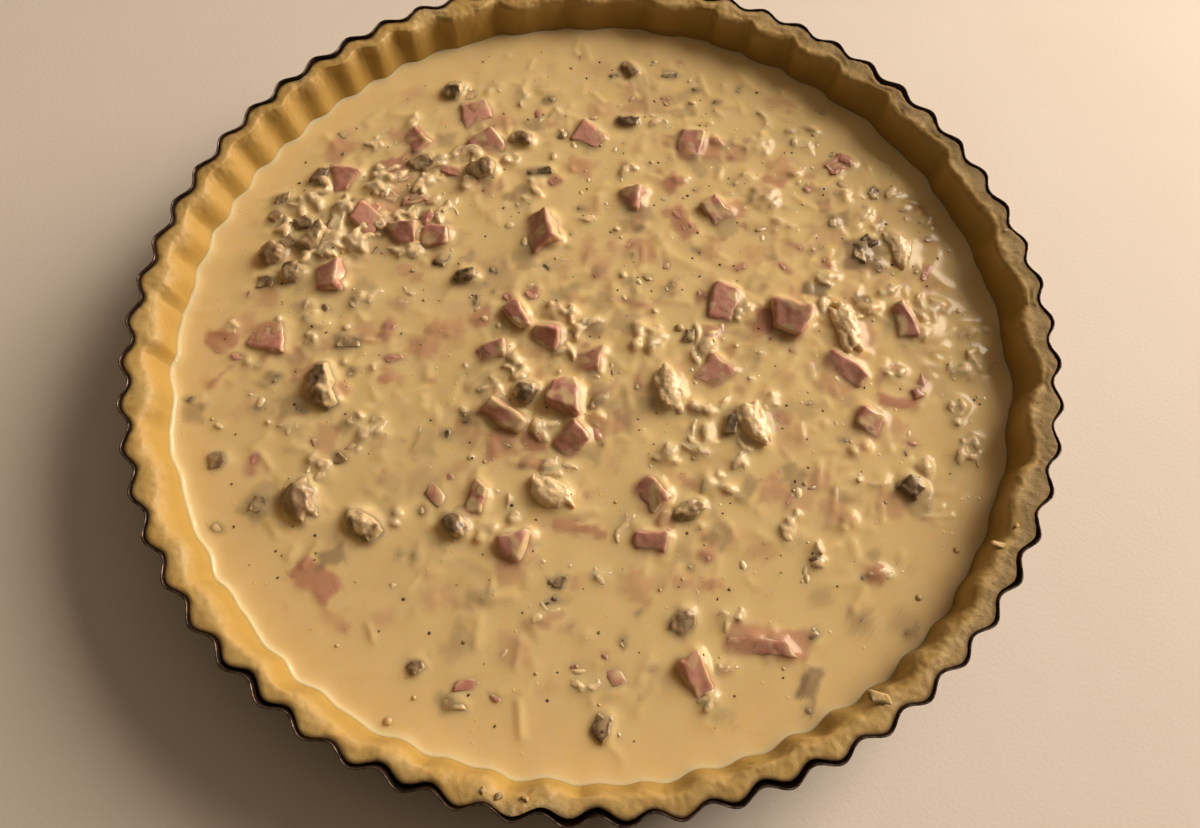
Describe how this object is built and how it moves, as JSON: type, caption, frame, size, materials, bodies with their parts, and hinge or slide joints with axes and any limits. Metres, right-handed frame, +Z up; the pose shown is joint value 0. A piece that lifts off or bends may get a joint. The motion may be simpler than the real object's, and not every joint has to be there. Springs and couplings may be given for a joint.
{
  "type": "quiche",
  "caption": "Round unbaked quiche in a fluted tart tin: raw pastry case filled with custard, diced ham, mushroom and cheese.",
  "frame": {"origin": "middle of the tin's flat underside, on the surface it stands on", "axes": "+Z up out of the filling, +Y away from the picture's viewer, +X to the viewer's right"},
  "size_m": [0.28, 0.28, 0.035],
  "materials": {
    "tin_coating": "dark brown non-stick coating, satin, worn to a thin bright line along the rim",
    "raw_pastry": "raw shortcrust dough: golden, smooth and slightly greasy inside, grainy on its cut top",
    "custard": "wet cream and egg custard, pale yellow, glossy and slightly translucent",
    "ham": "cooked ham, dull pink, wet, with thin custard over its edges",
    "mushroom": "fried mushroom, brown to nearly black, wet",
    "cheese": "soft cheese under a coat of custard, cream coloured, wet"
  },
  "bodies": {
    "root": {"cheese_01": "cheese", "cheese_02": "cheese", "cheese_03": "cheese", "cheese_04": "cheese", "cheese_05": "cheese", "filling": "custard", "ham_01": "ham", "ham_02": "ham", "ham_03": "ham", "ham_04": "ham", "ham_05": "ham", "ham_06": "ham", "ham_07": "ham", "ham_08": "ham", "ham_09": "ham", "ham_10": "ham", "ham_11": "ham", "ham_12": "ham", "ham_13": "ham", "ham_14": "ham", "ham_15": "ham", "ham_16": "ham", "ham_17": "ham", "ham_18": "ham", "ham_19": "ham", "ham_20": "ham", "ham_21": "ham", "ham_22": "ham", "ham_23": "ham", "ham_24": "ham", "ham_25": "ham", "ham_26": "ham", "ham_27": "ham", "ham_28": "ham", "ham_29": "ham", "ham_30": "ham", "ham_31": "ham", "ham_32": "ham", "ham_33": "ham", "mushroom_01": "mushroom", "mushroom_02": "mushroom", "mushroom_03": "mushroom", "mushroom_04": "mushroom", "mushroom_05": "mushroom", "mushroom_06": "mushroom", "mushroom_07": "mushroom", "mushroom_08": "mushroom", "mushroom_09": "mushroom", "mushroom_10": "mushroom", "mushroom_11": "mushroom", "mushroom_12": "mushroom", "mushroom_13": "mushroom", "mushroom_14": "mushroom", "mushroom_15": "mushroom", "mushroom_16": "mushroom", "mushroom_17": "mushroom", "pastry": "raw_pastry", "tin": "tin_coating"}
  },
  "joints": []
}
